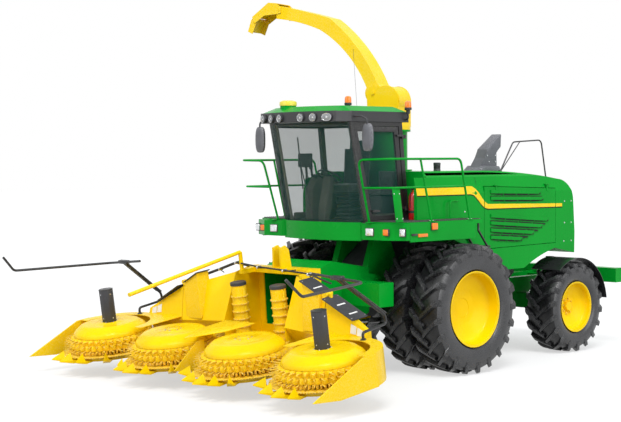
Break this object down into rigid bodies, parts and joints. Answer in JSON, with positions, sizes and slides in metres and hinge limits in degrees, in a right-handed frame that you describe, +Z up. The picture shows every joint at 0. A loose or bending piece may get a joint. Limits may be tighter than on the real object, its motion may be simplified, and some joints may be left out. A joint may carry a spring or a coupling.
{
  "type": "self-propelled forage harvester with rotary maize header",
  "caption": "Self-propelled forage harvester with twin front wheels, steered rear wheels, cab, turning discharge spout and folding rotary maize header",
  "frame": {"origin": "on the ground below the middle of the whole machine's bounding box", "axes": "+X forward along the machine, +Y to the machine's left, +Z up"},
  "size_m": [9.2609, 6.1778, 5.672],
  "materials": {
    "green_paint": "gloss",
    "yellow_paint": "gloss",
    "black_paint": "satin",
    "grey_paint": "satin",
    "cast_metal": "matte",
    "bright_steel": "polished",
    "tyre_rubber": "matte",
    "window_glass": "clear",
    "clear_lamp": "clear",
    "amber_plastic": "gloss",
    "seat_fabric": "matte",
    "dark_plastic": "matte"
  },
  "bodies": {
    "machine": {"main_frame": "green_paint", "front_axle": "cast_metal", "rear_axle": "green_paint", "engine": "cast_metal", "chopper_housing": "green_paint", "hood": "green_paint", "front_panel": "green_paint", "cab_floor": "black_paint", "cab_frame": "black_paint", "cab_roof_band": "dark_plastic", "cab_roof": "green_paint", "cab_glass": "window_glass", "seat": "seat_fabric", "controls": "dark_plastic", "work_lamps": "clear_lamp", "amber_lamps": "amber_plastic", "walkways": "green_paint", "handrails": "green_paint", "ladder": "black_paint", "exhaust_stack": "grey_paint", "mirrors": "dark_plastic", "extinguisher": "dark_plastic", "spout_chute": "green_paint"},
    "front_wheels_left": {"front_tyres_left": "tyre_rubber", "front_rims_left": "yellow_paint"},
    "front_wheels_right": {"front_tyres_right": "tyre_rubber", "front_rims_right": "yellow_paint"},
    "steer_knuckle_left": {"rear_knuckle_left": "green_paint"},
    "steer_knuckle_right": {"rear_knuckle_right": "green_paint"},
    "rear_wheel_left": {"rear_tyre_left": "tyre_rubber", "rear_rim_left": "yellow_paint"},
    "rear_wheel_right": {"rear_tyre_right": "tyre_rubber", "rear_rim_right": "yellow_paint"},
    "door_of_cab": {"cab_door": "black_paint", "cab_door_glass": "window_glass"},
    "side_door_left": {"hood_door_left": "green_paint"},
    "side_door_right": {"hood_door_right": "green_paint"},
    "turret": {"spout_turret": "yellow_paint"},
    "boom": {"spout_boom": "yellow_paint"},
    "flap": {"spout_flap": "yellow_paint"},
    "tip": {"spout_tip": "yellow_paint"},
    "boom_barrel": {"spout_cylinder": "black_paint"},
    "boom_rod": {"spout_rod": "bright_steel"},
    "feeder": {"feeder_house": "green_paint", "header_frame": "yellow_paint"},
    "feeder_barrels": {"lift_barrels": "black_paint"},
    "feeder_rods": {"lift_rods": "bright_steel"},
    "fold_wing_left": {"wing_left": "yellow_paint", "stalk_guide_left": "black_paint"},
    "fold_wing_right": {"wing_right": "yellow_paint", "stalk_guide_right": "black_paint"},
    "drum_outer_left": {"rotor_outer_left": "yellow_paint", "rotor_post_left": "black_paint"},
    "drum_inner_left": {"rotor_inner_left": "yellow_paint"},
    "drum_inner_right": {"rotor_inner_right": "yellow_paint"},
    "drum_outer_right": {"rotor_outer_right": "yellow_paint", "rotor_post_right": "black_paint"},
    "feed_left": {"feed_drum_left": "yellow_paint"},
    "feed_right": {"feed_drum_right": "yellow_paint"}
  },
  "joints": [
    {"name": "front_wheels_left_spin", "type": "hinge", "parent": "machine", "child": "front_wheels_left", "pos_m": [-0.2835, 1.27, 0.955], "axis": [0, 1, 0], "continuous": true},
    {"name": "front_wheels_right_spin", "type": "hinge", "parent": "machine", "child": "front_wheels_right", "pos_m": [-0.2835, -1.27, 0.955], "axis": [0, 1, 0], "continuous": true},
    {"name": "steer_left", "type": "hinge", "parent": "machine", "child": "steer_knuckle_left", "pos_m": [-3.3335, 0.8, 0.735], "axis": [0, 0, 1], "range_deg": [-30, 30]},
    {"name": "steer_right", "type": "hinge", "parent": "machine", "child": "steer_knuckle_right", "pos_m": [-3.3335, -0.8, 0.735], "axis": [0, 0, 1], "range_deg": [-30, 30]},
    {"name": "rear_wheel_left_spin", "type": "hinge", "parent": "steer_knuckle_left", "child": "rear_wheel_left", "pos_m": [-3.3335, 1.17, 0.735], "axis": [0, 1, 0], "continuous": true},
    {"name": "rear_wheel_right_spin", "type": "hinge", "parent": "steer_knuckle_right", "child": "rear_wheel_right", "pos_m": [-3.3335, -1.17, 0.735], "axis": [0, 1, 0], "continuous": true},
    {"name": "cab_door_swing", "type": "hinge", "parent": "machine", "child": "door_of_cab", "pos_m": [0.1865, 0.88, 3], "axis": [0, 0, 1], "range_deg": [0, 38]},
    {"name": "side_door_left_lift", "type": "hinge", "parent": "machine", "child": "side_door_left", "pos_m": [-2.1835, 1.206, 2.734], "axis": [1, 0, 0], "range_deg": [0, 60]},
    {"name": "side_door_right_lift", "type": "hinge", "parent": "machine", "child": "side_door_right", "pos_m": [-2.1835, -1.206, 2.734], "axis": [-1, 0, 0], "range_deg": [0, 60]},
    {"name": "spout_turn", "type": "hinge", "parent": "machine", "child": "turret", "pos_m": [-0.3835, 0, 3.6], "axis": [0, 0, -1], "range_deg": [0, 210]},
    {"name": "spout_lift", "type": "hinge", "parent": "turret", "child": "boom", "pos_m": [-0.34597, -0.14006, 4.17], "axis": [0.9659, 0.2588, 0], "range_deg": [-3, 30]},
    {"name": "flap_bend", "type": "hinge", "parent": "boom", "child": "flap", "pos_m": [0.09531, -1.78696, 5.54], "axis": [0.9659, 0.2588, 0], "range_deg": [-25, 30]},
    {"name": "tip_bend", "type": "hinge", "parent": "flap", "child": "tip", "pos_m": [0.21567, -2.23612, 5.4], "axis": [0.9659, 0.2588, 0], "range_deg": [-25, 30]},
    {"name": "boom_barrel_pivot", "type": "hinge", "parent": "turret", "child": "boom_barrel", "pos_m": [-0.58771, -0.26177, 3.72], "axis": [0.9659, 0.2588, 0], "range_deg": [-10, 25]},
    {"name": "boom_rod_slide", "type": "slide", "parent": "boom_barrel", "child": "boom_rod", "axis": [0.0602, -0.2246, 0.9726], "range_m": [-0.14, 0.03]},
    {"name": "header_lift", "type": "hinge", "parent": "machine", "child": "feeder", "pos_m": [0.4665, 0, 1.35], "axis": [0, -1, 0], "range_deg": [-2, 15]},
    {"name": "feeder_barrel_pivot", "type": "hinge", "parent": "machine", "child": "feeder_barrels", "pos_m": [0.0465, 0, 0.76], "axis": [0, -1, 0], "range_deg": [-4, 12]},
    {"name": "feeder_rod_slide", "type": "slide", "parent": "feeder_barrels", "child": "feeder_rods", "axis": [0.9993, 0, 0.0367], "range_m": [-0.03, 0.16]},
    {"name": "wing_left_fold", "type": "hinge", "parent": "feeder", "child": "fold_wing_left", "pos_m": [2.42852, 1.505, 1.35026], "axis": [0.9903, 0, -0.1392], "range_deg": [0, 100]},
    {"name": "wing_right_fold", "type": "hinge", "parent": "feeder", "child": "fold_wing_right", "pos_m": [2.42852, -1.505, 1.35026], "axis": [-0.9903, 0, 0.1392], "range_deg": [0, 100]},
    {"name": "rotor_outer_left_spin", "type": "hinge", "parent": "fold_wing_left", "child": "drum_outer_left", "pos_m": [3.25266, 2.2605, 0.56795], "axis": [0.1392, 0, 0.9903], "continuous": true},
    {"name": "rotor_inner_left_spin", "type": "hinge", "parent": "feeder", "child": "drum_inner_left", "pos_m": [3.25266, 0.7535, 0.56795], "axis": [0.1392, 0, 0.9903], "continuous": true},
    {"name": "feed_drum_left_spin", "type": "hinge", "parent": "feeder", "child": "feed_left", "pos_m": [2.28033, 0.42, 0.90656], "axis": [0.1392, 0, 0.9903], "continuous": true},
    {"name": "rotor_outer_right_spin", "type": "hinge", "parent": "fold_wing_right", "child": "drum_outer_right", "pos_m": [3.25266, -2.2605, 0.56795], "axis": [0.1392, 0, 0.9903], "continuous": true},
    {"name": "rotor_inner_right_spin", "type": "hinge", "parent": "feeder", "child": "drum_inner_right", "pos_m": [3.25266, -0.7535, 0.56795], "axis": [0.1392, 0, 0.9903], "continuous": true},
    {"name": "feed_drum_right_spin", "type": "hinge", "parent": "feeder", "child": "feed_right", "pos_m": [2.28033, -0.42, 0.90656], "axis": [0.1392, 0, 0.9903], "continuous": true}
  ],
  "couplings": [
    {"joint": "steer_right", "follows": "steer_left", "ratio": 1},
    {"joint": "tip_bend", "follows": "flap_bend", "ratio": 1},
    {"joint": "boom_barrel_pivot", "follows": "spout_lift", "ratio": 0.55715},
    {"joint": "boom_rod_slide", "follows": "spout_lift", "m_per_rad": -0.20756},
    {"joint": "feeder_barrel_pivot", "follows": "header_lift", "ratio": 0.58422},
    {"joint": "feeder_rod_slide", "follows": "header_lift", "m_per_rad": 0.53806}
  ]
}
